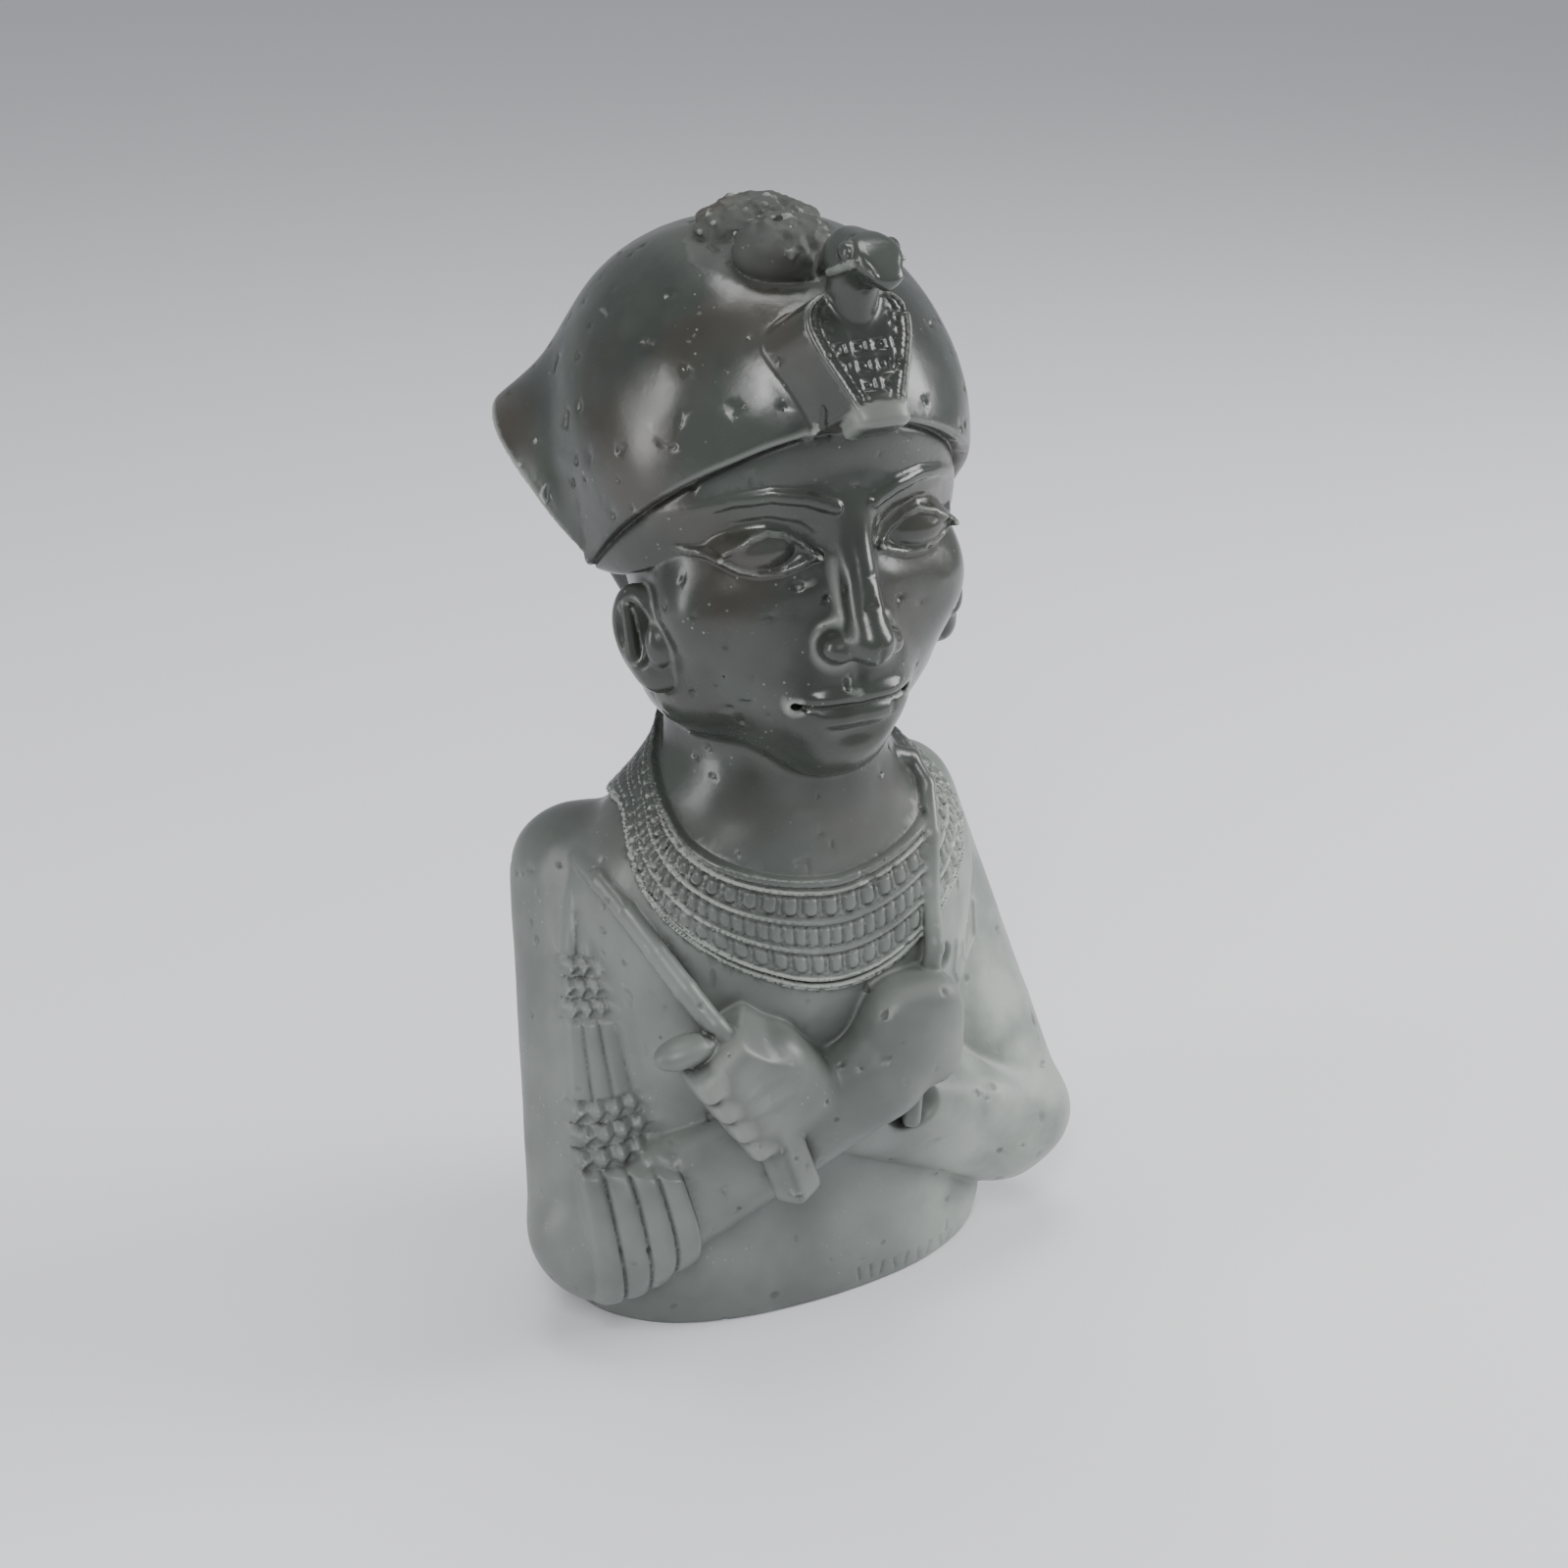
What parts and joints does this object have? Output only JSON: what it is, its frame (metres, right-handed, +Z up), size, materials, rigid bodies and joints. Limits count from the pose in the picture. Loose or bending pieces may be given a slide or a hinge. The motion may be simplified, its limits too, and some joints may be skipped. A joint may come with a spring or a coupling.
{
  "type": "pharaoh bust statuette",
  "caption": "Carved stone bust of a pharaoh with winged helmet crown, brow cobra and broad collar, arms crossed with crook and flail, flat base.",
  "frame": {"origin": "middle of the flat underside", "axes": "+Z up, the figure faces -Y, and +X is the figure's left"},
  "size_m": [0.16, 0.1291, 0.3032],
  "materials": {
    "stone": "dark grey-green stone, rubbed to a polish, with dusty grooves and a rough unpolished finial"
  },
  "bodies": {
    "root": {"statue": "stone"}
  },
  "joints": []
}
